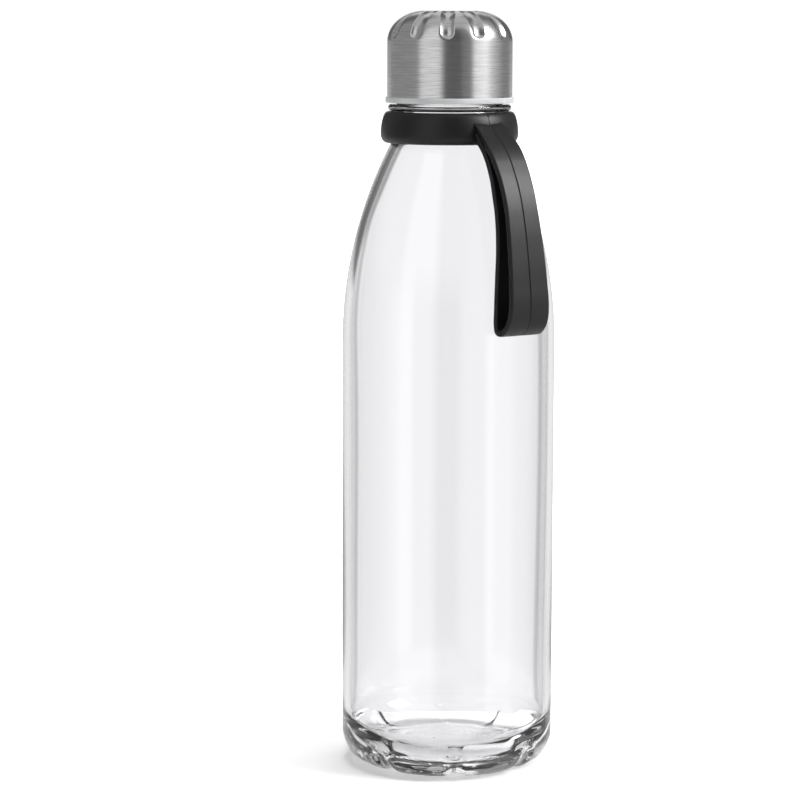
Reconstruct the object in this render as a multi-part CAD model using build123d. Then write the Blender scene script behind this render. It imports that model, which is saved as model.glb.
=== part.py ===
from build123d import *
import math
import os

# A clear glass water bottle with a screw cap and a silicone carry strap, in millimetres.
# +Z is up. The origin is the middle of the ring that the bottle stands on, and the strap hangs towards +X.
# Six pieces: the blown glass bottle, a steel cap shell over a threaded plastic liner, the washer that
# seals the mouth, and the silicone neck ring with its carry strap.

# ---- Glass bottle ----
body_radius = 35.6            # outside of the straight side
body_side_top = 143.0         # height where the straight side ends and the shoulder starts
shoulder_radius = 145.0       # one long arc from the straight side to the neck
glass_wall = 2.5
heel_radius = 10.0            # outside corner between the side and the base
inner_heel_radius = 12.0
floor_thickness = 6.0         # glass above the standing ring and above the middle of the base
base_push_up = 3.0            # how far the middle of the base is raised
standing_ring_width = 4.75    # flat ring that touches the table
groove_count = 8              # rounded grooves round the heel, which leave eight soft feet
groove_cutter_radius = 6.0
groove_depth = 1.1
groove_top_angle = 20.0       # how far below level, seen from the heel's centre, a groove stops
groove_turn = 15.6            # turn of the first groove from +X

# ---- Neck and threaded mouth, a 38 mm screw finish ----
mouth_radius = 14.8
mouth_wall = 2.8
lip_round = 1.2
mouth_height = 16.1           # from the top of the bead to the lip
thread_pitch = 4.2
thread_depth = 1.1
thread_root_half_width = 1.2
thread_crest_half_width = 0.6
bottle_thread_turns = 1.5
thread_below_lip = 2.9        # from the lip down to the middle of the thread's upper end
thread_start = 40.0           # turn of the thread's lower end from +X
neck_step = 1.35              # the neck stands this far outside the threaded part
neck_length = 9.65            # straight neck that carries the silicone ring
bead_depth = 1.5              # the bead above the ring stands this far outside the neck
bead_height = 2.15
bead_round = 1.0

# ---- Cap ----
shell_wall = 0.5
dome_reach = 12.0             # the rounded top edge, measured inwards
dome_height = 10.0            # the same edge, measured upwards
flute_count = 12
flute_cutter_radius = 3.65
flute_depth = 0.9
flute_low_angle = 18.0        # where a flute's middle starts and ends round the dome, up from level
flute_high_angle = 80.0
flute_turn = 21.9             # turn of the first flute from +X
liner_wall = 1.25
liner_flange_height = 1.85
liner_flange_step = 0.5       # the flange shows this much outside the steel shell
top_plate_thickness = 1.8
shell_headroom = 0.65         # from the top plate to where the dome starts
rib_count = 6
rib_thickness = 1.2
rib_height = 1.2
spigot_radius = 3.0
cap_thread_turns = 1.25
cap_thread_lead = 120.0       # degrees by which the cap's thread starts before the bottle's thread
cap_thread_crest_half_width = 0.45
cap_thread_root_half_width = 0.95
seal_thickness = 2.0
seal_inner_radius = 12.5
seal_lip = 0.4                # height of the little bead that holds the washer in the liner

# ---- Silicone neck ring and carry strap ----
ring_wall = 3.8               # at the ring's widest
ring_top_wall = 2.7
ring_top_round = 0.8
ring_belly_height = 3.0       # from the ring's underside up to its widest
ring_bottom_round = 2.0
ring_over_shoulder = 1.0      # how far the ring reaches down past the neck's end
ring_inner_chamfer = 1.2
strap_thickness = 2.0
strap_drop = 62.45            # from the strap's root down to the bottom of its loop
strap_standoff = 0.4          # from the bottle's side to the hanging strap
strap_root_half_width = 5.9
strap_middle_half_width = 7.2
strap_end_half_width = 8.0
knuckle_extra = 0.45          # the rounded root is this much thicker than one leg
root_above_ring_foot = 1.5

# ---- Clearances ----
thread_radial_gap = 0.3       # from the bottle thread's crest to the liner's bore
cap_thread_tip_gap = 0.35     # from the cap thread's crest to the bottle's wall
thread_flank_gap = 0.12       # between the two threads' faces, along the axis
rim_gap = 0.5                 # from the bead up to the closed cap
seal_gap = 0.05               # from the lip up to the washer
seal_top_gap = 0.1
seal_side_gap = 0.25
seal_hold_gap = 0.1           # from the washer down to the bead that holds it
seal_hold_overlap = 0.2       # how far that bead reaches under the washer
glue_gap = 0.05               # between the liner and the steel shell
ring_gap = 0.15               # between the silicone ring and the neck
ring_end_gap = 0.3            # between the ring and the bead
root_gap = 0.3                # between the ring and the strap's root

# ---- Bottle places ----
finish_radius = mouth_radius + mouth_wall
thread_crest_radius = finish_radius + thread_depth
neck_radius = finish_radius + neck_step
bead_radius = neck_radius + bead_depth
shoulder_centre = body_radius - shoulder_radius


def shoulder_top(radius, arc_radius):
    """Height where a shoulder arc about the shared centre reaches a radius."""
    return body_side_top + math.sqrt(arc_radius ** 2 - (radius - shoulder_centre) ** 2)


neck_foot = shoulder_top(neck_radius, shoulder_radius)
bead_foot = neck_foot + neck_length
bead_top = bead_foot + bead_height
lip_top = bead_top + mouth_height
thread_foot = lip_top - thread_below_lip - thread_pitch * bottle_thread_turns
heel_centre = body_radius - heel_radius
standing_ring_inner = heel_centre - standing_ring_width

# ---- Cap places ----
liner_bore = thread_crest_radius + thread_radial_gap
liner_radius = liner_bore + liner_wall
shell_inner_radius = liner_radius + glue_gap
cap_radius = shell_inner_radius + shell_wall
flange_foot = bead_top + rim_gap
flange_top = flange_foot + liner_flange_height
seal_foot = lip_top + seal_gap
seal_top = seal_foot + seal_thickness
seal_radius = liner_bore - 2 * glue_gap - 2 * seal_side_gap - seal_hold_overlap
pocket_radius = seal_radius + seal_side_gap
plate_foot = seal_top + seal_top_gap
plate_top = plate_foot + top_plate_thickness
dome_foot = plate_top + shell_headroom
cap_top = dome_foot + dome_height
top_flat_radius = cap_radius - dome_reach

# ---- Ring and strap places ----
ring_bore = neck_radius + ring_gap
ring_radius = ring_bore + ring_wall
ring_top_radius = ring_bore + ring_top_wall
ring_foot = neck_foot - ring_over_shoulder
ring_top = bead_foot - ring_end_gap
knuckle_radius = strap_thickness + knuckle_extra
root_x = ring_radius + root_gap + knuckle_radius
root_z = ring_foot + root_above_ring_foot
hang_x = body_radius + strap_standoff
strap_reach = hang_x - root_x
strap_foot = root_z - strap_drop

os.makedirs("parts", exist_ok=True)


def write(piece, name):
    """One sub-part goes to one STEP file, named for the sub-part."""
    piece.label = name
    export_step(piece, f"parts/{name}.step")


def spun(outline):
    """A solid of revolution about the bottle's axis, from edges drawn in the XZ plane."""
    return revolve(make_face(Plane.XZ * outline), Axis.Z)


def turned(shape, count, first):
    """Copies of a shape spaced evenly round the bottle's axis."""
    return [Rot(0, 0, first + 360 / count * k) * shape for k in range(count)]


def thread(points, foot, turns, start):
    """A right-hand thread ridge: an outline of (radius, height) points swept up a helix."""
    core = points[0][0]
    helix = Helix(thread_pitch, thread_pitch * turns, core)
    section = Plane.XZ * make_face(Polyline(*points, close=True))
    return Pos(0, 0, foot) * Rot(0, 0, start) * sweep(section, path=helix, is_frenet=True)


# ---- glass_bottle ----
def bottle_outside():
    """The bottle as if it were solid glass."""
    base = ThreePointArc(
        (-standing_ring_inner, 0), (0, base_push_up), (standing_ring_inner, 0)
    ).trim(0.5, 1)
    lip_edge = finish_radius - lip_round
    bead_edge = bead_radius - bead_round
    return spun(
        base
        + Line((standing_ring_inner, 0), (heel_centre, 0))
        + CenterArc((heel_centre, heel_radius), heel_radius, -90, 90)
        + Line((body_radius, heel_radius), (body_radius, body_side_top))
        + RadiusArc((body_radius, body_side_top), (neck_radius, neck_foot), -shoulder_radius)
        + Line((neck_radius, neck_foot), (neck_radius, bead_foot))
        + Line((neck_radius, bead_foot), (bead_edge, bead_foot))
        + CenterArc((bead_edge, bead_foot + bead_round), bead_round, -90, 90)
        + Line((bead_radius, bead_foot + bead_round), (bead_radius, bead_top - bead_round))
        + CenterArc((bead_edge, bead_top - bead_round), bead_round, 0, 90)
        + Line((bead_edge, bead_top), (finish_radius, bead_top))
        + Line((finish_radius, bead_top), (finish_radius, lip_top - lip_round))
        + CenterArc((lip_edge, lip_top - lip_round), lip_round, 0, 90)
        + Line((lip_edge, lip_top), (0, lip_top))
        + Line((0, lip_top), (0, base_push_up))
    )


def bottle_inside():
    """The space that holds the water, open through the mouth."""
    side = body_radius - glass_wall
    arc = shoulder_radius - glass_wall
    neck_inside = neck_radius - glass_wall
    neck_start = shoulder_top(neck_inside, arc)
    corner = side - inner_heel_radius
    floor_middle = base_push_up + floor_thickness
    floor = ThreePointArc(
        (-corner, floor_thickness), (0, floor_middle), (corner, floor_thickness)
    ).trim(0.5, 1)
    mouth_foot = bead_top
    flare = lip_top - lip_round
    above = lip_top + lip_round
    return spun(
        floor
        + CenterArc((corner, floor_thickness + inner_heel_radius), inner_heel_radius, -90, 90)
        + Line((side, floor_thickness + inner_heel_radius), (side, body_side_top))
        + RadiusArc((side, body_side_top), (neck_inside, neck_start), -arc)
        + Line((neck_inside, neck_start), (mouth_radius, mouth_foot))
        + Line((mouth_radius, mouth_foot), (mouth_radius, flare))
        + CenterArc((mouth_radius + lip_round, flare), lip_round, 180, -90)
        + Line((mouth_radius + lip_round, lip_top), (mouth_radius + lip_round, above))
        + Line((mouth_radius + lip_round, above), (0, above))
        + Line((0, above), (0, floor_middle))
    )


def heel_groove():
    """A round-ended groove that runs from under the standing ring up round the heel, on the +X side."""
    reach = heel_radius + groove_cutter_radius - groove_depth
    turn = 90 - groove_top_angle
    low = Vector(heel_centre, 0, heel_radius - reach)
    slope = math.radians(groove_top_angle)
    high = Vector(
        heel_centre + reach * math.cos(slope), 0, heel_radius - reach * math.sin(slope)
    )
    section = Plane(origin=low, z_dir=(1, 0, 0)) * Circle(groove_cutter_radius)
    tube = revolve(section, Axis((heel_centre, 0, heel_radius), (0, -1, 0)), turn)
    ends = [Pos(*end) * Sphere(groove_cutter_radius) for end in (low, high)]
    return tube + ends


def glass_bottle():
    sunk = finish_radius - thread_depth / 2
    ridge = thread(
        [
            (sunk, -thread_root_half_width),
            (finish_radius, -thread_root_half_width),
            (thread_crest_radius, -thread_crest_half_width),
            (thread_crest_radius, thread_crest_half_width),
            (finish_radius, thread_root_half_width),
            (sunk, thread_root_half_width),
        ],
        thread_foot, bottle_thread_turns, thread_start,
    )
    grooves = turned(heel_groove(), groove_count, groove_turn)
    return bottle_outside() - grooves - bottle_inside() + ridge


# ---- cap_shell and cap_liner ----
def dome(inset, foot):
    """The cap's outline, taken in by an inset all round, as a solid."""
    side = cap_radius - inset
    reach = dome_reach - inset
    height = dome_height - inset
    return spun(
        Line((0, foot), (side, foot))
        + Line((side, foot), (side, dome_foot))
        + EllipticalCenterArc((top_flat_radius, dome_foot), reach, height, 0, arc_size=90)
        + Line((top_flat_radius, dome_foot + height), (0, dome_foot + height))
        + Line((0, dome_foot + height), (0, foot))
    )


def flute(extra):
    """A round-ended bar that presses one flute into the dome, thicker by an extra all round."""
    out = flute_cutter_radius - flute_depth
    path = Plane.XZ * EllipticalCenterArc(
        (top_flat_radius, dome_foot), dome_reach + out, dome_height + out,
        flute_low_angle, arc_size=flute_high_angle - flute_low_angle,
    )
    size = flute_cutter_radius + extra
    bar = sweep(Plane(origin=path @ 0, z_dir=path % 0) * Circle(size), path=path)
    return bar + [Pos(*(path @ end)) * Sphere(size) for end in (0, 1)]


def fluted_dome(inset, foot):
    """The cap's outline with its flutes pressed in."""
    return dome(inset, foot) - turned(flute(inset), flute_count, flute_turn)


def cap_shell():
    below = flange_top - shell_wall
    inside = fluted_dome(shell_wall, below)
    return fluted_dome(0, flange_top) - inside


def flank_offset():
    """How far the cap's thread sits below the bottle's, so that their faces nearly touch."""
    def bottle_half(radius):
        share = (radius - finish_radius) / thread_depth
        return thread_root_half_width + share * (thread_crest_half_width - thread_root_half_width)

    def cap_half(radius):
        share = (radius - cap_crest_radius) / (liner_bore - cap_crest_radius)
        step = cap_thread_root_half_width - cap_thread_crest_half_width
        return cap_thread_crest_half_width + share * step

    meets = (cap_crest_radius, thread_crest_radius)
    return max(bottle_half(r) + cap_half(r) for r in meets) + thread_flank_gap


cap_crest_radius = finish_radius + cap_thread_tip_gap


def cap_liner():
    inset = shell_wall + glue_gap
    body = dome(inset, flange_top) - turned(flute(inset), flute_count, flute_turn)
    body = body & Pos(0, 0, flange_top) * Cylinder(
        cap_radius, plate_top - flange_top, align=(Align.CENTER, Align.CENTER, Align.MIN)
    )
    flange = Pos(0, 0, flange_foot) * Cylinder(
        cap_radius + liner_flange_step, liner_flange_height,
        align=(Align.CENTER, Align.CENTER, Align.MIN),
    )
    spigot = Pos(0, 0, plate_foot) * Cylinder(
        spigot_radius, top_plate_thickness + rib_height,
        align=(Align.CENTER, Align.CENTER, Align.MIN),
    )
    rib_length = pocket_radius - rib_thickness
    rib = Pos(0, 0, plate_foot) * Box(
        rib_length, rib_thickness, top_plate_thickness + rib_height / 2,
        align=(Align.MIN, Align.CENTER, Align.MIN),
    )
    hold_radius = seal_radius - seal_hold_overlap
    hold_top = seal_foot - seal_hold_gap
    hold_foot = hold_top - seal_lip
    below = flange_foot - liner_flange_height
    hollow = spun(
        Polyline(
            (0, below), (liner_bore, below),
            (liner_bore, hold_foot - seal_lip), (hold_radius, hold_foot),
            (hold_radius, hold_top), (pocket_radius, hold_top),
            (pocket_radius, plate_foot), (0, plate_foot), close=True,
        )
    )
    sunk = liner_bore + liner_wall / 3
    ridge_foot = thread_foot - flank_offset() - thread_pitch * cap_thread_lead / 360
    ridge = thread(
        [
            (sunk, cap_thread_root_half_width),
            (liner_bore, cap_thread_root_half_width),
            (cap_crest_radius, cap_thread_crest_half_width),
            (cap_crest_radius, -cap_thread_crest_half_width),
            (liner_bore, -cap_thread_root_half_width),
            (sunk, -cap_thread_root_half_width),
        ],
        ridge_foot, cap_thread_turns, thread_start - cap_thread_lead,
    )
    solid = body + flange + spigot + turned(rib, rib_count, 0)
    return solid - (hollow - ridge)


# ---- cap_seal ----
def cap_seal():
    washer = Cylinder(seal_radius, seal_thickness) - Cylinder(seal_inner_radius, seal_thickness)
    return Pos(0, 0, (seal_foot + seal_top) / 2) * washer


# ---- neck_ring ----
def neck_ring():
    belly = ring_foot + ring_belly_height
    top_edge = ring_top_radius - ring_top_round
    bottom_edge = ring_radius - ring_bottom_round
    return spun(
        Line((ring_bore, ring_top), (top_edge, ring_top))
        + CenterArc((top_edge, ring_top - ring_top_round), ring_top_round, 0, 90)
        + Spline(
            (ring_top_radius, ring_top - ring_top_round), (ring_radius, belly),
            tangents=[(0, -1), (0, -1)],
        )
        + EllipticalCenterArc(
            (bottom_edge, belly), ring_bottom_round, ring_belly_height, -90, arc_size=90
        )
        + Line((bottom_edge, ring_foot), (ring_bore + ring_inner_chamfer, ring_foot))
        + Line(
            (ring_bore + ring_inner_chamfer, ring_foot),
            (ring_bore, ring_foot + ring_inner_chamfer),
        )
        + Line((ring_bore, ring_foot + ring_inner_chamfer), (ring_bore, ring_top))
    )


# ---- carry_strap ----
# The side view of the hanging loop. Each row is a place on the leg beside the bottle, as shares of the
# strap's reach and drop, with the opening between the two legs there, in millimetres.
legs = [
    (0.13, 0.075, 2.75),
    (0.52, 0.179, 1.3),
    (0.76, 0.300, 1.55),
    (0.92, 0.405, 1.65),
    (1.02, 0.552, 2.6),
    (1.01, 0.709, 4.55),
    (1.00, 0.864, 5.5),
]
# The turn at the bottom, from the outer leg round to the leg beside the bottle: millimetres out from the
# leg beside the bottle and up from the lowest point. The outer leg's share of the width is added to x.
turn = [(0.87, 4.6), (0.66, 1.75), (0.36, 0.0)]
turn_corner = [(0.75, 0.8), (0.05, 2.8)]
leg_slant = 1.1               # two slanted legs take this much more width than two upright ones
root_out_angle = 61.0         # where the outer leg leaves the rounded root
root_in_angle = 223.0         # where the leg beside the bottle leaves it


def loop_places():
    """Places round the loop's outside edge: down the outer leg, round the bottom and up the inner leg."""
    def on_root(angle):
        a = math.radians(angle)
        return (root_x + knuckle_radius * math.cos(a), root_z + knuckle_radius * math.sin(a))

    def leg_width(opening):
        return 2 * leg_slant * strap_thickness + opening

    inner = [(root_x + u * strap_reach, root_z - v * strap_drop) for u, v, _ in legs]
    outer = [(x + leg_width(row[2]), z) for (x, z), row in zip(inner, legs)]
    width = leg_width(legs[-1][2])
    bottom = [(hang_x + share * width, strap_foot + up) for share, up in turn]
    return [on_root(root_out_angle), *outer, *bottom], [*inner[::-1], on_root(root_in_angle)]


def closed(places):
    """A face inside a smooth edge through some places, closed by a straight line at the root."""
    return make_face(Spline(*places) + Line(places[-1], places[0]))


def loop_side_view():
    """The loop in the XZ plane, with its rounded root and the slit that opens between its legs."""
    down, up = loop_places()
    corner = [(hang_x + out, strap_foot + rise) for out, rise in turn_corner]
    edge = Spline(*down, *corner, *up)
    slit = []
    for place in [*down, *up]:
        along = edge.tangent_at(edge.param_at_point(place))
        slit.append(Vector(place) + Vector(along.Y, -along.X) * strap_thickness)
    root = Pos(root_x, root_z) * Circle(knuckle_radius)
    return closed([*down, *corner, *up]) - closed(slit) + root


def carry_strap():
    band = extrude(Plane.XZ * loop_side_view(), 2 * strap_end_half_width, both=True)
    front = make_face(
        Polyline(
            (-strap_root_half_width, root_z + strap_end_half_width),
            (-strap_root_half_width, root_z),
            (-strap_middle_half_width, root_z - strap_drop / 2),
            (-strap_end_half_width, strap_foot - 1),
            (strap_end_half_width, strap_foot - 1),
            (strap_middle_half_width, root_z - strap_drop / 2),
            (strap_root_half_width, root_z),
            (strap_root_half_width, root_z + strap_end_half_width),
            close=True,
        )
    )
    return band & extrude(Plane.YZ * front, 2 * cap_radius + strap_drop)


write(glass_bottle(), "glass_bottle")
write(cap_shell(), "cap_shell")
write(cap_liner(), "cap_liner")
write(cap_seal(), "cap_seal")
write(neck_ring(), "neck_ring")
write(carry_strap(), "carry_strap")
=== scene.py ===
import math

import bmesh
import bpy
from mathutils import Matrix, Vector


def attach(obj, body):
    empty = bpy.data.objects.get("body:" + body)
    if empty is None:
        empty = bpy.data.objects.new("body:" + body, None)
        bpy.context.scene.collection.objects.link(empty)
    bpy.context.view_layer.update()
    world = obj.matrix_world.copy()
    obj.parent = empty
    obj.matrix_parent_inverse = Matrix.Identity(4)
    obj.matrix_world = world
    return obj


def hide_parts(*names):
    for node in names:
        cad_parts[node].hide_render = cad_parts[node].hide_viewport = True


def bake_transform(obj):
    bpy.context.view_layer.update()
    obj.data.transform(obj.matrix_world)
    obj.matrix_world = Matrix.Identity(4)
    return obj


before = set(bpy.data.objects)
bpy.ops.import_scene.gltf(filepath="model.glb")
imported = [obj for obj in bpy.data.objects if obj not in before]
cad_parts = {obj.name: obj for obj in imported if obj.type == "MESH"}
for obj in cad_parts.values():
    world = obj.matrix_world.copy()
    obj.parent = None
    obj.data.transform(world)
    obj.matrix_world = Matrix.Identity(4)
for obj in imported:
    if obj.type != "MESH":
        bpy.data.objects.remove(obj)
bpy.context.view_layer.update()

MM = 0.001

# ---- Sizes in millimetres, the same as the part's own ----
BODY_RADIUS = 35.6
BODY_SIDE_TOP = 143.0
SHOULDER_RADIUS = 145.0
GLASS_WALL = 2.5
HEEL_RADIUS = 10.0
INNER_HEEL_RADIUS = 12.0
FLOOR_THICKNESS = 6.0
BASE_PUSH_UP = 3.0
RING_INNER = 20.85            # inside of the flat ring that the bottle stands on
GROOVE_COUNT = 8
GROOVE_BALL = 6.0
GROOVE_DEPTH = 1.1
GROOVE_TOP_ANGLE = -20.0
GROOVE_TURN = 15.6
MOUTH_RADIUS = 14.8
FINISH_RADIUS = 17.6
NECK_RADIUS = 18.95
BEAD_RADIUS = 20.45
BEAD_ROUND = 1.0
BEAD_FOOT = 220.113
BEAD_TOP = 222.263
LIP_TOP = 238.363
LIP_ROUND = 1.2
THREAD_FOOT = 229.163
THREAD_PITCH = 4.2
THREAD_DEPTH = 1.1
THREAD_TURNS = 1.5
THREAD_START = 40.0           # degrees from +X
LINER_THREAD_FOOT = 226.184
LINER_THREAD_DEPTH = 1.05
LINER_THREAD_TURNS = 1.25
LINER_THREAD_START = -80.0    # degrees from +X
CAP_RADIUS = 20.8
SHELL_FOOT = 224.613
SHELL_WALL = 0.5
DOME_FOOT = 242.963
DOME_REACH = 12.0
DOME_HEIGHT = 10.0
FLUTE_COUNT = 12
FLUTE_BALL = 3.65
FLUTE_DEPTH = 0.9
FLUTE_TURN = 21.9
FLUTE_SWEEP = (18, 80)        # degrees up round the dome
LINER_BORE = 19.0
LINER_RADIUS = 20.25
FLANGE_RADIUS = 21.3
FLANGE_FOOT = 222.763
PLATE_FOOT = 240.513
PLATE_TOP = 242.313
POCKET_RADIUS = 18.45
SEAL_FOOT = 238.413
SEAL_TOP = 240.413
SEAL_RADIUS = 18.2
SEAL_INNER = 12.5
COLLAR_BORE = 19.1
COLLAR_RADIUS = 22.9
COLLAR_TOP_RADIUS = 21.8
COLLAR_FOOT = 209.463
COLLAR_TOP = 219.813
COLLAR_BELLY = 212.463        # height of the collar's widest place
STRAP_THICKNESS = 2.0
STRAP_HALF = 5.7              # the half width that the strap's section is drawn at


# ---- Making shapes ----
def half_section(start, *moves):
    """Draws half a lathe section in the XZ plane, in millimetres. A move (r, z) or (r, z, steps) runs
    straight there, and (r, z, steps, degrees) turns about that centre. A fifth number stretches the
    turn's height."""
    drawn = bmesh.new()
    tip = drawn.verts.new((start[0] * MM, 0, start[1] * MM))
    for r, z, *how in moves:
        goal = Vector((r * MM, 0, z * MM))
        steps = how[0] if how else 1
        if len(how) < 2:
            stride = (goal - tip.co) / steps
            for _ in range(steps):
                place = tip.co + stride
                tip = bmesh.ops.extrude_vert_indiv(drawn, verts=[tip])["verts"][0]
                tip.co = place
            continue
        before = set(drawn.verts)
        tip = bmesh.ops.spin(
            drawn, geom=[tip], cent=goal, axis=(0, -1, 0), angle=math.radians(how[1]), steps=steps
        )["geom_last"][0]
        if len(how) == 3:
            bmesh.ops.scale(
                drawn, vec=(1, 1, how[2]), space=Matrix.Translation(-goal),
                verts=[v for v in drawn.verts if v not in before],
            )
    return drawn


def lathe(drawn, columns):
    """Turns a half section once round the bottle's axis and closes it, faces outwards."""
    bmesh.ops.spin(
        drawn, geom=drawn.verts[:] + drawn.edges[:], cent=(0, 0, 0), axis=(0, 0, 1),
        angle=math.tau, steps=columns, use_merge=True,
    )
    bmesh.ops.remove_doubles(drawn, verts=drawn.verts, dist=1e-6)
    bmesh.ops.recalc_face_normals(drawn, faces=drawn.faces)
    return drawn


def eased(share):
    """A smooth rise from 0 to 1."""
    share = min(max(share, 0.0), 1.0)
    return share * share * (3 - 2 * share)


def press_grooves(made, count, first, centre, path, sweep, ball, soft):
    """Presses round-ended grooves evenly round the axis, each as a ball run along an arc leaves it.
    Centre, path (half axes of the ball's arc) and sweep (degrees) are in the groove's own upright plane.
    Soft is how far the groove's rim is rounded over."""
    samples = 80
    places = []
    for k in range(samples + 1):
        a = math.radians(sweep[0] + (sweep[1] - sweep[0]) * k / samples)
        places.append(
            Vector((centre[0] + path[0] * math.cos(a), 0, centre[1] + path[1] * math.sin(a))) * MM
        )
    step = math.tau / count
    start = math.radians(first)
    lowest = min(p.z for p in places) - (ball + soft) * MM
    highest = max(p.z for p in places) + (ball + soft) * MM
    for vert in made.verts:
        if not lowest < vert.co.z < highest:
            continue
        own = start + round((math.atan2(vert.co.y, vert.co.x) - start) / step) * step
        local = Matrix.Rotation(-own, 3, "Z") @ vert.co
        nearest = min(places, key=lambda p: (local.x - p.x) ** 2 + (local.z - p.z) ** 2)
        away = local - nearest
        sink = ball * MM - away.length
        if sink < -3 * soft * MM:
            continue
        sink = (sink + math.hypot(sink, soft * MM)) / 2
        vert.co = Matrix.Rotation(own, 3, "Z") @ (local + away.normalized() * sink)


def raise_thread(made, wall, height, foot, turns, start, crest_half, root_half):
    """Raises a right-hand screw thread on the wall of that radius, in millimetres, with both ends run out.
    A height below 0 raises it inwards."""
    run_out = 0.07                # of a turn
    for vert in made.verts:
        radius = math.hypot(vert.co.x, vert.co.y)
        if abs(radius - wall * MM) > 1e-6:
            continue
        turn = (math.degrees(math.atan2(vert.co.y, vert.co.x)) - start) / 360 % 1
        lift = 0.0
        while turn < turns:
            off = abs(vert.co.z / MM - foot - THREAD_PITCH * turn)
            side = eased((root_half - off) / (root_half - crest_half))
            lift = max(lift, side * eased(min(turn, turns - turn) / run_out))
            turn += 1
        wider = (radius + height * MM * lift) / radius
        vert.co.x *= wider
        vert.co.y *= wider


def finished(made, name, material, slot, crease, *replaced):
    """Makes the piece's object and hides the CAD nodes that it stands for. Its slot, its place in its mesh,
    is not used.
    """
    mesh = bpy.data.meshes.new(name)
    made.to_mesh(mesh)
    made.free()
    mesh.shade_smooth()
    mesh.set_sharp_from_angle(angle=math.radians(crease))
    mesh.materials.append(material)
    piece = bpy.data.objects.new(name, mesh)
    bpy.context.scene.collection.objects.link(piece)
    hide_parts(*replaced)
    return piece


# ---- Making materials ----
def colour(text):
    """An sRGB hex value as linear red, green, blue and alpha."""
    shares = [int(text[k:k + 2], 16) / 255 for k in (1, 3, 5)]
    return [s / 12.92 if s <= 0.04045 else ((s + 0.055) / 1.055) ** 2.4 for s in shares] + [1.0]


def node(tree, kind, inputs=None, **settings):
    """Adds a node, sets its options, and gives its inputs values or links."""
    made = tree.nodes.new(kind)
    for name, value in settings.items():
        setattr(made, name, value)
    for name, value in (inputs or {}).items():
        if isinstance(value, bpy.types.NodeSocket):
            tree.links.new(value, made.inputs[name])
        else:
            made.inputs[name].default_value = value
    return made


def material_of(name, **plain):
    """A material with one Principled shader. Its plain values are set on the shader's own sockets."""
    made = bpy.data.materials.new(name)
    made.use_nodes = True
    shader = made.node_tree.nodes["Principled BSDF"]
    for socket, value in plain.items():
        shader.inputs[socket.replace("_", " ")].default_value = value
    return made, made.node_tree, shader


def blown_glass():
    """Clear soda-lime glass, blown in a mould: bright and colourless, with dark lines where the wall turns
    edge-on. The underside of the base is lightly stippled, which scatters what shows through it."""
    made, tree, shader = material_of(
        "clear_soda_lime_glass", Base_Color=colour("#FDFDFE"), Roughness=0.0, IOR=1.52,
        Transmission_Weight=1.0,
    )
    where = node(tree, "ShaderNodeTexCoord").outputs["Object"]
    parts = node(tree, "ShaderNodeSeparateXYZ", {"Vector": where}).outputs
    low = node(
        tree, "ShaderNodeMapRange",
        {"Value": parts["Z"], "From Min": 3.4 * MM, "From Max": 2.2 * MM, "To Min": 0.0, "To Max": 1.0},
    ).outputs["Result"]
    # Stipple from the mould's base plate, about 1.2 mm apart.
    stipple = node(
        tree, "ShaderNodeTexVoronoi", {"Vector": where, "Scale": 1 / (1.2 * MM)}, feature="SMOOTH_F1"
    ).outputs["Distance"]
    bump = node(
        tree, "ShaderNodeBump", {"Strength": low, "Distance": 0.12 * MM, "Height": stipple}
    )
    tree.links.new(bump.outputs["Normal"], shader.inputs["Normal"])
    return made


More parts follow.
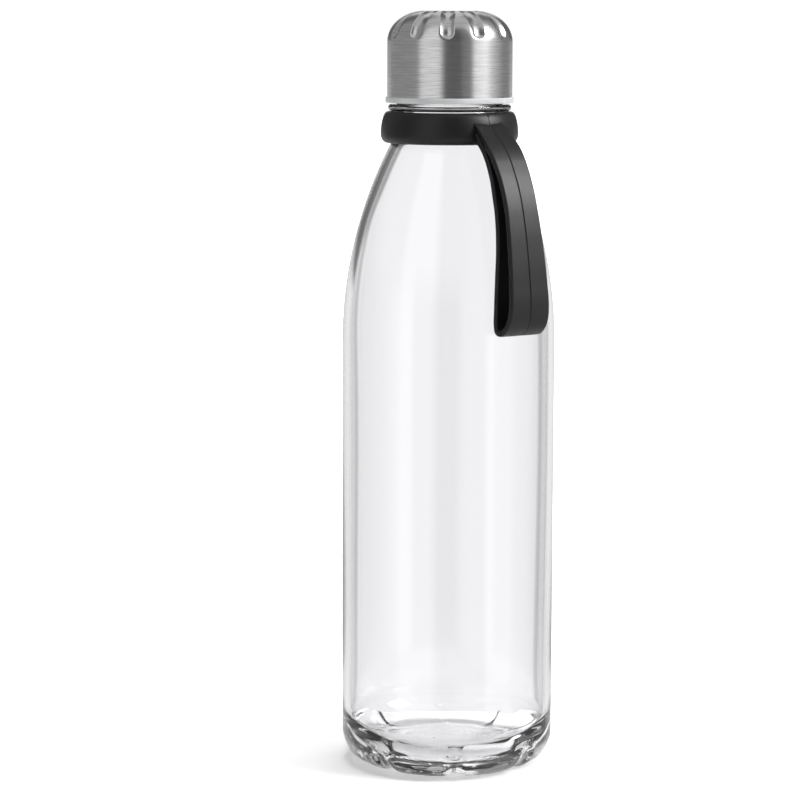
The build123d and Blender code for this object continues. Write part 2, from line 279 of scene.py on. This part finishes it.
def brushed_steel():
    """Stainless steel, pressed and then brushed round on a lathe: fine level streaks, and highlights that
    smear up and down but keep crisp sides."""
    made, tree, shader = material_of(
        "brushed_stainless_steel", Metallic=1.0, Anisotropic=0.6, Anisotropic_Rotation=0.25
    )
    where = node(tree, "ShaderNodeTexCoord").outputs["Object"]
    flat = node(
        tree, "ShaderNodeVectorMath", {0: where, 1: (1, 1, 0)}, operation="MULTIPLY"
    ).outputs["Vector"]
    radius = node(tree, "ShaderNodeVectorMath", {0: flat}, operation="LENGTH").outputs["Value"]
    height = node(tree, "ShaderNodeSeparateXYZ", {"Vector": where}).outputs["Z"]
    # Up the side and then in over the dome, so that the streaks stay level rings all the way.
    climb = node(tree, "ShaderNodeMath", {0: height, 1: radius}, operation="SUBTRACT").outputs["Value"]
    up = node(tree, "ShaderNodeCombineXYZ", {"Z": climb}).outputs["Vector"]
    both = node(tree, "ShaderNodeVectorMath", {0: flat, 1: up}, operation="ADD").outputs["Vector"]

    def streaks(length, width, detail):
        """Scratches about that long and that far apart, in millimetres."""
        stretched = node(
            tree, "ShaderNodeMapping",
            {"Vector": both, "Scale": (1 / (length * MM), 1 / (length * MM), 1 / (width * MM))},
        ).outputs["Vector"]
        return node(
            tree, "ShaderNodeTexNoise",
            {"Vector": stretched, "Scale": 1.0, "Detail": detail, "Roughness": 0.65},
        ).outputs["Fac"]

    # Real scratches are about 0.05 mm apart, drawn wider here so that they show.
    fine = streaks(6.0, 0.14, 3.0)
    broad = streaks(14.0, 0.5, 1.0)
    mixed = node(
        tree, "ShaderNodeMix", {"Factor": 0.25, "A": fine, "B": broad}, data_type="FLOAT"
    ).outputs["Result"]
    tint = node(tree, "ShaderNodeValToRGB", {"Fac": mixed})
    tint.color_ramp.elements[0].position = 0.3
    tint.color_ramp.elements[0].color = colour("#A2A2A3")
    tint.color_ramp.elements[1].position = 0.7
    tint.color_ramp.elements[1].color = colour("#D2D2D1")
    tree.links.new(tint.outputs["Color"], shader.inputs["Base Color"])
    rough = node(
        tree, "ShaderNodeMapRange",
        {"Value": mixed, "From Min": 0.3, "From Max": 0.7, "To Min": 0.28, "To Max": 0.2},
    ).outputs["Result"]
    tree.links.new(rough, shader.inputs["Roughness"])
    bump = node(
        tree, "ShaderNodeBump", {"Strength": 0.5, "Distance": 0.012 * MM, "Height": fine}
    )
    tree.links.new(bump.outputs["Normal"], shader.inputs["Normal"])
    tangent = node(tree, "ShaderNodeTangent", direction_type="RADIAL", axis="Z")
    tree.links.new(tangent.outputs["Tangent"], shader.inputs["Tangent"])
    return made


def moulded(name, low, high, rough_low, rough_high, grain, depth, **plain):
    """A moulded surface: two near colours that drift over about 9 mm, and a fine grain, with the grain's
    size and depth in millimetres."""
    made, tree, shader = material_of(name, **plain)
    where = node(tree, "ShaderNodeTexCoord").outputs["Object"]
    cloudy = node(
        tree, "ShaderNodeTexNoise", {"Vector": where, "Scale": 1 / (9 * MM), "Detail": 4.0}
    ).outputs["Fac"]
    grains = node(
        tree, "ShaderNodeTexNoise", {"Vector": where, "Scale": 1 / (grain * MM), "Detail": 2.0}
    ).outputs["Fac"]
    tint = node(tree, "ShaderNodeValToRGB", {"Fac": cloudy})
    tint.color_ramp.elements[0].position = 0.35
    tint.color_ramp.elements[0].color = colour(low)
    tint.color_ramp.elements[1].position = 0.65
    tint.color_ramp.elements[1].color = colour(high)
    tree.links.new(tint.outputs["Color"], shader.inputs["Base Color"])
    rough = node(
        tree, "ShaderNodeMapRange",
        {"Value": grains, "From Min": 0.3, "From Max": 0.7, "To Min": rough_low, "To Max": rough_high},
    ).outputs["Result"]
    tree.links.new(rough, shader.inputs["Roughness"])
    bump = node(
        tree, "ShaderNodeBump", {"Strength": 0.6, "Distance": depth * MM, "Height": grains}
    )
    tree.links.new(bump.outputs["Normal"], shader.inputs["Normal"])
    return made


# ---- The glass bottle ----
def glass_bottle():
    """The whole wall of glass, outside and inside, drawn as one closed half section and turned."""
    heel = BODY_RADIUS - HEEL_RADIUS
    shoulder = BODY_RADIUS - SHOULDER_RADIUS
    inner_side = BODY_RADIUS - GLASS_WALL
    inner_neck = NECK_RADIUS - GLASS_WALL
    inner_arc = SHOULDER_RADIUS - GLASS_WALL
    shoulder_turn = math.degrees(math.acos((NECK_RADIUS - shoulder) / SHOULDER_RADIUS))
    inner_turn = math.degrees(math.acos((inner_neck - shoulder) / inner_arc))
    inner_corner = inner_side - INNER_HEEL_RADIUS
    base_ball = (RING_INNER ** 2 + BASE_PUSH_UP ** 2) / (2 * BASE_PUSH_UP)
    floor_ball = (inner_corner ** 2 + BASE_PUSH_UP ** 2) / (2 * BASE_PUSH_UP)
    floor_middle = BASE_PUSH_UP + FLOOR_THICKNESS
    made = half_section(
        (0, BASE_PUSH_UP),
        (0, BASE_PUSH_UP - base_ball, 14, -math.degrees(math.asin(RING_INNER / base_ball))),
        (heel, 0, 5),
        (heel, HEEL_RADIUS, 34, 90),
        (BODY_RADIUS, BODY_SIDE_TOP, 22),
        (shoulder, BODY_SIDE_TOP, 30, shoulder_turn),
        (NECK_RADIUS, BEAD_FOOT, 3),
        (BEAD_RADIUS - BEAD_ROUND, BEAD_FOOT),
        (BEAD_RADIUS - BEAD_ROUND, BEAD_FOOT + BEAD_ROUND, 6, 90),
        (BEAD_RADIUS, BEAD_TOP - BEAD_ROUND),
        (BEAD_RADIUS - BEAD_ROUND, BEAD_TOP - BEAD_ROUND, 6, 90),
        (FINISH_RADIUS, BEAD_TOP, 2),
        (FINISH_RADIUS, LIP_TOP - LIP_ROUND, 68),
        (FINISH_RADIUS - LIP_ROUND, LIP_TOP - LIP_ROUND, 6, 90),
        (MOUTH_RADIUS + LIP_ROUND, LIP_TOP),
        (MOUTH_RADIUS + LIP_ROUND, LIP_TOP - LIP_ROUND, 6, 90),
        (MOUTH_RADIUS, BEAD_TOP, 4),
        (inner_neck, BODY_SIDE_TOP + inner_arc * math.sin(math.radians(inner_turn)), 3),
        (shoulder, BODY_SIDE_TOP, 30, -inner_turn),
        (inner_side, FLOOR_THICKNESS + INNER_HEEL_RADIUS, 22),
        (inner_corner, FLOOR_THICKNESS + INNER_HEEL_RADIUS, 16, -90),
        (0, floor_middle - floor_ball, 12, math.degrees(math.asin(inner_corner / floor_ball))),
    )
    lathe(made, 240)
    reach = HEEL_RADIUS + GROOVE_BALL - GROOVE_DEPTH
    press_grooves(
        made, GROOVE_COUNT, GROOVE_TURN, (heel, HEEL_RADIUS), (reach, reach),
        (-90, GROOVE_TOP_ANGLE), GROOVE_BALL, 0.35,
    )
    raise_thread(
        made, FINISH_RADIUS, THREAD_DEPTH, THREAD_FOOT, THREAD_TURNS, THREAD_START, 0.6, 1.2
    )
    # Blown glass is never quite even inside: the wall wanders by about a tenth of a millimetre, between
    # a height just above the heel and one just below the neck.
    low, high, fade_over = 22, 196, 14
    for vert in made.verts:
        height = vert.co.z / MM
        if not low < height < high:
            continue
        radius = math.hypot(vert.co.x, vert.co.y)
        above_side = max(height - BODY_SIDE_TOP, 0)
        outer = shoulder + math.sqrt(SHOULDER_RADIUS ** 2 - above_side ** 2)
        if radius > (outer - 0.6 * GLASS_WALL) * MM:
            continue
        a = math.atan2(vert.co.y, vert.co.x)
        wander = (
            0.07 * math.cos(2 * a + 0.7 + height / 60) + 0.05 * math.cos(3 * a - height / 34)
            + 0.04 * math.sin(height / 19 + a)
        )
        fade = eased((height - low) / fade_over) * eased((high - height) / fade_over)
        wider = 1 + wander * fade * MM / radius
        vert.co.x *= wider
        vert.co.y *= wider
    return finished(made, "bottle_glass", blown_glass(), "glass", 45, "glass_bottle")


# ---- The cap ----
def steel_shell():
    """The pressed steel skin, with twelve flutes run over the dome."""
    flat = CAP_RADIUS - DOME_REACH
    made = half_section(
        (CAP_RADIUS, SHELL_FOOT),
        (CAP_RADIUS, DOME_FOOT, 12),
        (flat, DOME_FOOT, 44, 90, DOME_HEIGHT / DOME_REACH),
        (0, DOME_FOOT + DOME_HEIGHT, 5),
    )
    lathe(made, 480)
    out = FLUTE_BALL - FLUTE_DEPTH
    press_grooves(
        made, FLUTE_COUNT, FLUTE_TURN, (flat, DOME_FOOT), (DOME_REACH + out, DOME_HEIGHT + out),
        FLUTE_SWEEP, FLUTE_BALL, 0.15,
    )
    bmesh.ops.solidify(made, geom=made.faces[:], thickness=SHELL_WALL * MM)
    return finished(made, "cap_steel_shell", brushed_steel(), "brushed_steel", 50, "cap_shell")


def plastic_liner():
    """The moulded inner cap: a flange below the steel, a threaded bore, and a pocket for the washer."""
    edge = 0.35
    step = SEAL_FOOT - 0.1        # the narrow step that keeps the washer in its pocket
    made = half_section(
        (0, PLATE_FOOT),
        (POCKET_RADIUS, PLATE_FOOT),
        (POCKET_RADIUS, step),
        (SEAL_RADIUS - 0.2, step),
        (SEAL_RADIUS - 0.2, step - 0.4),
        (LINER_BORE, step - 0.8),
        (LINER_BORE, FLANGE_FOOT + edge, 64),
        (LINER_BORE + edge, FLANGE_FOOT + edge, 4, 90),
        (FLANGE_RADIUS - edge, FLANGE_FOOT),
        (FLANGE_RADIUS - edge, FLANGE_FOOT + edge, 4, 90),
        (FLANGE_RADIUS, SHELL_FOOT - edge),
        (FLANGE_RADIUS - edge, SHELL_FOOT - edge, 4, 90),
        (LINER_RADIUS, SHELL_FOOT),
        (LINER_RADIUS, PLATE_FOOT - 1.2),
        (LINER_RADIUS - 0.9, PLATE_TOP),
        (0, PLATE_TOP),
    )
    lathe(made, 200)
    raise_thread(
        made, LINER_BORE, -LINER_THREAD_DEPTH, LINER_THREAD_FOOT, LINER_THREAD_TURNS,
        LINER_THREAD_START, 0.45, 0.95,
    )
    # Polypropylene, moulded with a satin skin: mid grey and a little see-through at its edges.
    plastic = moulded(
        "satin_polypropylene", "#9A9B9C", "#A6A7A8", 0.38, 0.5, 0.6, 0.02,
        IOR=1.49, Subsurface_Weight=0.25, Subsurface_Radius=(0.002, 0.002, 0.002), Subsurface_Scale=1.0,
    )
    return finished(made, "cap_plastic_liner", plastic, "liner_plastic", 35, "cap_liner")


def sealing_washer():
    """A flat silicone washer with rounded edges."""
    edge = 0.3
    made = half_section(
        (SEAL_RADIUS - edge, SEAL_FOOT),
        (SEAL_RADIUS - edge, SEAL_FOOT + edge, 5, 90),
        (SEAL_RADIUS, SEAL_TOP - edge),
        (SEAL_RADIUS - edge, SEAL_TOP - edge, 5, 90),
        (SEAL_INNER + edge, SEAL_TOP, 3),
        (SEAL_INNER + edge, SEAL_TOP - edge, 5, 90),
        (SEAL_INNER, SEAL_FOOT + edge),
        (SEAL_INNER + edge, SEAL_FOOT + edge, 5, 90),
        (SEAL_RADIUS - edge, SEAL_FOOT, 3),
    )
    lathe(made, 160)
    # Silicone rubber, moulded and left clear: milky white and soft.
    silicone = moulded(
        "clear_white_silicone", "#DADAD6", "#E4E4E0", 0.4, 0.55, 0.5, 0.02,
        IOR=1.43, Subsurface_Weight=0.3, Subsurface_Radius=(0.002, 0.002, 0.002), Subsurface_Scale=1.0,
    )
    return finished(made, "cap_washer", silicone, "seal_silicone", 35, "cap_seal")


# ---- The silicone collar and carry strap ----
def collar(silicone):
    """The ring round the neck, widest low down, with the mould's parting line on the strap's side."""
    inner_chamfer = 1.2
    top_edge = COLLAR_TOP_RADIUS - 1.3    # where the flat top ends and the outer side begins
    bottom_reach = 2.0
    bottom_rise = COLLAR_BELLY - COLLAR_FOOT
    made = half_section(
        (COLLAR_BORE, COLLAR_FOOT + inner_chamfer),
        (COLLAR_BORE, COLLAR_TOP, 3),
        (top_edge, COLLAR_TOP, 2),
        (COLLAR_RADIUS, COLLAR_BELLY, 24),
        (COLLAR_RADIUS - bottom_reach, COLLAR_BELLY, 12, -90, bottom_rise / bottom_reach),
        (COLLAR_BORE + inner_chamfer, COLLAR_FOOT),
        (COLLAR_BORE, COLLAR_FOOT + inner_chamfer, 2),
    )
    # The outer side swells in a quarter of an ellipse from the top down to its widest.
    for vert in made.verts:
        height = vert.co.z / MM
        if vert.co.x > top_edge * MM + 1e-7 and height > COLLAR_BELLY:
            turn = (COLLAR_TOP - height) / (COLLAR_TOP - COLLAR_BELLY) * math.pi / 2
            vert.co.x = (top_edge + (COLLAR_RADIUS - top_edge) * math.sin(turn)) * MM
            vert.co.z = (COLLAR_BELLY + (COLLAR_TOP - COLLAR_BELLY) * math.cos(turn)) * MM
    lathe(made, 200)
    seam_half = 0.12
    seam_depth = 0.16
    for side in (-1, 1):
        bmesh.ops.bisect_plane(
            made, geom=made.verts[:] + made.edges[:] + made.faces[:],
            plane_co=(0, side * seam_half * MM, 0), plane_no=(0, 1, 0), dist=1e-7,
        )
    for vert in made.verts:
        if abs(vert.co.y) < 1e-6 and vert.co.x > (COLLAR_BORE + 0.5) * MM:
            vert.co.x -= seam_depth * MM
    return finished(made, "silicone_collar", silicone, "strap_silicone", 50, "neck_ring")


# The strap's outside line seen from the side, as (out, up) in millimetres: out of the collar, down the outer
# leg, round the foot of the loop, and up the leg beside the bottle back into the collar.
STRAP_LINE = [
    (20.3, 217.4), (22.5, 216.3), (26.3, 213.3), (30.3, 209.8), (33.1, 206.6), (35.3, 203.2),
    (37.9, 198.3), (40.0, 193.0), (42.0, 185.7), (43.8, 176.5), (45.2, 166.7), (45.8, 157.5),
    (44.9, 153.2), (42.6, 150.0), (39.6, 148.55), (36.9, 149.3), (36.0, 151.5), (35.7, 157.0),
    (35.55, 166.7), (35.4, 176.5), (34.3, 185.7), (32.7, 192.2), (30.6, 199.8), (27.4, 206.3),
    (24.8, 209.3), (21.9, 212.0),
]
# Half of the strap's width at heights from its root down, in millimetres.
STRAP_WIDTHS = [(217.0, 5.6), (209.6, 6.4), (198.0, 6.15), (190.0, 6.15), (148.5, 7.95)]


def along_strap(spacing):
    """Even places down the strap's line as (place, normal), with the normal on the loop's outer side."""
    curve = bpy.data.curves.new("strap_line", "CURVE")
    curve.dimensions = "3D"
    line = curve.splines.new("BEZIER")
    line.bezier_points.add(len(STRAP_LINE) - 1)
    for knot, (out, up) in zip(line.bezier_points, STRAP_LINE):
        knot.co = (out * MM, 0, up * MM)
        knot.handle_left_type = knot.handle_right_type = "AUTO"
    curve.resolution_u = 16
    holder = bpy.data.objects.new("strap_line", curve)
    bpy.context.scene.collection.objects.link(holder)
    bpy.context.view_layer.update()
    drawn = bpy.data.meshes.new_from_object(holder)
    dots = [v.co.copy() for v in drawn.vertices]
    bpy.data.objects.remove(holder)
    bpy.data.meshes.remove(drawn)
    places = [dots[0]]
    gone = 0.0
    for a, b in zip(dots, dots[1:]):
        span = (b - a).length
        while gone + span >= spacing and span > 0:
            a = a + (b - a) * ((spacing - gone) / span)
            span = (b - a).length
            gone = 0.0
            places.append(a)
        gone += span
    found = []
    for k, place in enumerate(places):
        ahead = (places[min(k + 1, len(places) - 1)] - places[max(k - 1, 0)]).normalized()
        found.append((place, Vector((-ahead.z, 0, ahead.x))))
    return found


def strap_half_width(height):
    """Half of the strap's width at a height, both in metres."""
    for (top, wide_above), (foot, wide_below) in zip(STRAP_WIDTHS, STRAP_WIDTHS[1:]):
        if height >= foot * MM:
            share = max((top * MM - height) / ((top - foot) * MM), 0)
            return (wide_above + (wide_below - wide_above) * share) * MM
    return STRAP_WIDTHS[-1][1] * MM


def carry_strap(silicone):
    """The loop, as one flat band with softened edges and a fine parting groove, laid along its line."""
    half = STRAP_HALF
    edge = 0.45                   # radius of the band's four long edges
    flat_end = half - 1.2 * edge
    back = -STRAP_THICKNESS
    crown = 0.05
    groove = 0.12
    groove_depth = 0.2
    # Round the band's cross-section, as (across, out) in millimetres.
    corners = [
        (-groove, 0), (0, -groove_depth), (groove, 0), (3 * groove, 0.01), (half / 2, crown),
        (flat_end, 0), (half, 0), (half, back), (flat_end, back), (half / 2, back),
        (-half / 2, back), (-flat_end, back), (-half, back), (-half, 0), (-flat_end, 0),
        (-half / 2, crown), (-3 * groove, 0.01),
    ]
    made = bmesh.new()
    section = [made.verts.new((0, y * MM, z * MM)) for y, z in corners]
    for a, b in zip(section, section[1:] + section[:1]):
        made.edges.new((a, b))
    bmesh.ops.bevel(
        made, geom=[v for v in section if abs(abs(v.co.y) - half * MM) < 1e-7], offset=edge * MM,
        offset_type="OFFSET", segments=4, profile=0.5, affect="VERTICES", material=-1,
    )
    path = along_strap(0.45 * MM)
    bmesh.ops.contextual_create(made, geom=made.edges[:])
    front = made.edges[:]
    for _ in path[1:]:
        grown = bmesh.ops.extrude_edge_only(made, edges=front)["geom"]
        ahead = [g for g in grown if isinstance(g, bmesh.types.BMVert)]
        bmesh.ops.translate(made, vec=(1, 0, 0), verts=ahead)
        front = [g for g in grown if isinstance(g, bmesh.types.BMEdge)]
    bmesh.ops.contextual_create(made, geom=front)
    # Laid flat, one unit of x is one step along the line. Each point now goes to its own place on it.
    for vert in made.verts:
        place, normal = path[round(vert.co.x)]
        out = vert.co.z
        spread = vert.co.y
        if abs(spread) > 0.5 * MM:
            stretch = (strap_half_width(place.z) - half * MM) * min(abs(spread) / (half * MM), 1)
            spread += math.copysign(stretch, spread)
        vert.co = place + normal * out + Vector((0, spread, 0))
    bmesh.ops.recalc_face_normals(made, faces=made.faces)
    return finished(made, "silicone_strap", silicone, "strap_silicone", 60, "carry_strap")


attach(glass_bottle(), "bottle")
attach(steel_shell(), "cap")
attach(plastic_liner(), "cap")
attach(sealing_washer(), "seal")
# Silicone rubber, moulded with a satin skin: near black, with soft grey highlights and no sharp ones.
black_silicone = moulded(
    "satin_black_silicone", "#0B0B0C", "#0F0F10", 0.36, 0.46, 0.35, 0.012, IOR=1.43,
    Specular_IOR_Level=0.4,
)
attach(collar(black_silicone), "collar")
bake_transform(carry_strap(black_silicone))

# ---- Floor, light and camera ----
VIEW_AZIMUTH = 55.6           # degrees from the front (-Y) round to the camera
CAMERA_AWAY = 0.959           # metres from the bottle's axis
CAMERA_LEFT = 0.0162
CAMERA_HEIGHT = 0.253
CAMERA_DOWN = 7.722           # degrees below level
CAMERA_ROLL = 0.165
BACK = Vector((math.sin(math.radians(VIEW_AZIMUTH)), -math.cos(math.radians(VIEW_AZIMUTH)), 0))
RIGHT = Vector((-BACK.y, BACK.x, 0))
UP = Vector((0, 0, 1))


def floor():
    """A wide pale sheet that glows though it is no lamp, which is painted light: brightest in a round patch
    under the bottle, a painted pool of light, faint round that, and rising far off so that the sheet stays
    evenly white. The glass looks past the sheet to the grey cards beyond it, and sees only the round middle
    that the bottle stands on."""
    pale, tree, shader = material_of(
        "matt_white_sheet", Base_Color=colour("#F2F2F2"), Roughness=0.9, Emission_Color=colour("#FFFFFF"),
    )
    where = node(tree, "ShaderNodeTexCoord").outputs["Object"]
    away = node(tree, "ShaderNodeVectorMath", {0: where}, operation="LENGTH").outputs["Value"]

    def painted_glow(near, far, at_near, at_far):
        """The sheet's painted light at two distances from the bottle, in metres."""
        return node(
            tree, "ShaderNodeMapRange",
            {"Value": away, "From Min": near, "From Max": far, "To Min": at_near, "To Max": at_far},
        ).outputs["Result"]

    # Painted light: a painted pool of light out to 22 mm under the bottle, fading by 34 mm, so that the
    # floor seen through the base stays light, and more light from 0.25 m out to 1 m so that the far sheet
    # stays white.
    both = node(
        tree, "ShaderNodeMath", {0: painted_glow(0.022, 0.034, 0.5, 0.1), 1: painted_glow(0.25, 1.0, 0.1, 1.1)},
        operation="MAXIMUM",
    ).outputs["Value"]
    tree.links.new(both, shader.inputs["Emission Strength"])
    # The wide sheet is a hair lower, so that the two never fight for the same place.
    for name, height, radius in (("floor_middle", 0, 0.045), ("floor_sheet", -0.05 * MM, 6.0)):
        made = bmesh.new()
        bmesh.ops.create_circle(made, cap_ends=True, segments=96, radius=radius)
        bmesh.ops.translate(made, vec=(0, 0, height), verts=made.verts)
        mesh = bpy.data.meshes.new(name)
        made.to_mesh(mesh)
        made.free()
        mesh.materials.append(pale)
        board = bpy.data.objects.new(name, mesh)
        board.visible_transmission = name == "floor_middle"
        board.visible_glossy = name == "floor_middle"
        bpy.context.scene.collection.objects.link(board)


def studio_light():
    """Grey and white cards round the bottle, as a sky. Each row is (from, to, brightness), in degrees round
    from the camera, with the camera's right as plus."""
    front = [
        (-138, -62, 0.42), (-54, -20, 1.15), (-10, 20, 0.14), (23, 39, 0.28), (46, 71, 1.35),
        (81, 84, 0.8), (115, 138, 0.36),
    ]
    low_cards = [
        (-180, -168.5, 0.96), (-167, -165.5, 0.45), (-163, -142, 0.85), *front,
        (142, 163, 0.85), (165.5, 167, 0.45), (168.5, 180, 0.96),
    ]
    high_cards = [
        (-180, -168.5, 0.96), (-166, -142, 0.16), *front, (142, 166, 0.16), (168.5, 180, 0.96),
    ]
    brightest = 2.0
    world = bpy.data.worlds.new("studio")
    bpy.context.scene.world = world
    world.use_nodes = True
    tree = world.node_tree
    way = node(tree, "ShaderNodeTexCoord").outputs["Generated"]
    turned = node(
        tree, "ShaderNodeVectorRotate",
        {"Vector": way, "Angle": math.radians(90 - VIEW_AZIMUTH)}, rotation_type="Z_AXIS",
    ).outputs["Vector"]
    parts = node(tree, "ShaderNodeSeparateXYZ", {"Vector": turned}).outputs
    angle = node(
        tree, "ShaderNodeMath", {0: parts["Y"], 1: parts["X"]}, operation="ARCTAN2"
    ).outputs["Value"]
    share = node(
        tree, "ShaderNodeMapRange",
        {"Value": angle, "From Min": -math.pi, "From Max": math.pi, "To Min": 0.0, "To Max": 1.0},
    ).outputs["Result"]

    def cards(rows):
        """The light of one row of cards at each direction round about."""
        ramp = node(tree, "ShaderNodeValToRGB", {"Fac": share})
        stops = ramp.color_ramp.elements
        places = []
        for low, high, light in rows:
            places += [(low / 360 + 0.5, light / brightest), (high / 360 + 0.5, light / brightest)]
        for k, (at, light) in enumerate(places):
            stop = stops[k] if k < 2 else stops.new(at)
            stop.position = at
            stop.color = (light, light, light, 1)
        return ramp.outputs["Color"]

    def above(low, high):
        """How far a direction is past a band of heights, where 1 is straight up and -1 straight down."""
        return node(
            tree, "ShaderNodeMapRange",
            {"Value": parts["Z"], "From Min": low, "From Max": high, "To Min": 0.0, "To Max": 1.0},
        ).outputs["Result"]

    # The two pale cards behind the bottle stop at the level of the sheet, and dark ones stand above them.
    round_about = node(
        tree, "ShaderNodeMix", {"Factor": above(-0.03, 0.0), "A": cards(low_cards), "B": cards(high_cards)},
        data_type="RGBA",
    ).outputs["Result"]
    # Well below the cards is more of the pale sheet, and overhead they end under a plain ceiling.
    round_about = node(
        tree, "ShaderNodeMix", {"Factor": above(-0.2, -0.4), "A": round_about, "B": (0.5, 0.5, 0.5, 1)},
        data_type="RGBA",
    ).outputs["Result"]
    sides = node(
        tree, "ShaderNodeMix", {"Factor": above(0.8, 0.92), "A": round_about, "B": (0.36, 0.36, 0.36, 1)},
        data_type="RGBA",
    ).outputs["Result"]
    seen = node(tree, "ShaderNodeLightPath").outputs["Is Camera Ray"]
    light = node(tree, "ShaderNodeBackground", {"Color": sides, "Strength": brightest})
    plain = node(tree, "ShaderNodeBackground", {"Color": (1, 1, 1, 1), "Strength": 1.05})
    either = node(tree, "ShaderNodeMixShader", {0: seen, 1: light.outputs[0], 2: plain.outputs[0]})
    tree.links.new(either.outputs[0], tree.nodes["World Output"].inputs["Surface"])


def soft_box(name, watts, width, height, place, towards, in_glass):
    """A rectangular soft box, with sizes in metres, from where it hangs to where it points. Where it isn't
    in the glass, neither glass nor steel shows its reflection."""
    data = bpy.data.lights.new(name, "AREA")
    data.shape = "RECTANGLE"
    data.size = width
    data.size_y = height
    data.energy = watts
    box = bpy.data.objects.new(name, data)
    box.location = place
    box.rotation_euler = (Vector(towards) - Vector(place)).to_track_quat("-Z", "Y").to_euler()
    box.visible_transmission = in_glass
    box.visible_glossy = in_glass
    bpy.context.scene.collection.objects.link(box)


def camera():
    """A long lens at the height of the cap, looking a little down, and a hair off level."""
    data = bpy.data.cameras.new("camera")
    data.sensor_width = 36
    data.lens = 129.3
    data.clip_start = 0.05
    shot = bpy.data.objects.new("camera", data)
    shot.matrix_world = (
        Matrix.Translation(BACK * CAMERA_AWAY - RIGHT * CAMERA_LEFT + UP * CAMERA_HEIGHT)
        @ Matrix.Rotation(math.radians(VIEW_AZIMUTH), 4, "Z")
        @ Matrix.Rotation(math.radians(90 - CAMERA_DOWN), 4, "X")
        @ Matrix.Rotation(math.radians(CAMERA_ROLL), 4, "Z")
    )
    bpy.context.scene.collection.objects.link(shot)
    bpy.context.scene.camera = shot


floor()
studio_light()
soft_box(
    "overhead", 12, 0.8, 0.8, RIGHT * 0.15 - BACK * 0.1 + UP * 1.1, (0, 0, 0), in_glass=False
)
soft_box(
    "right_side", 14, 0.5, 0.5, RIGHT * 0.99 + BACK * 0.25 + UP * 0.84, (0, 0, 0.2), in_glass=True
)
camera()
bpy.context.scene.view_settings.view_transform = "Standard"
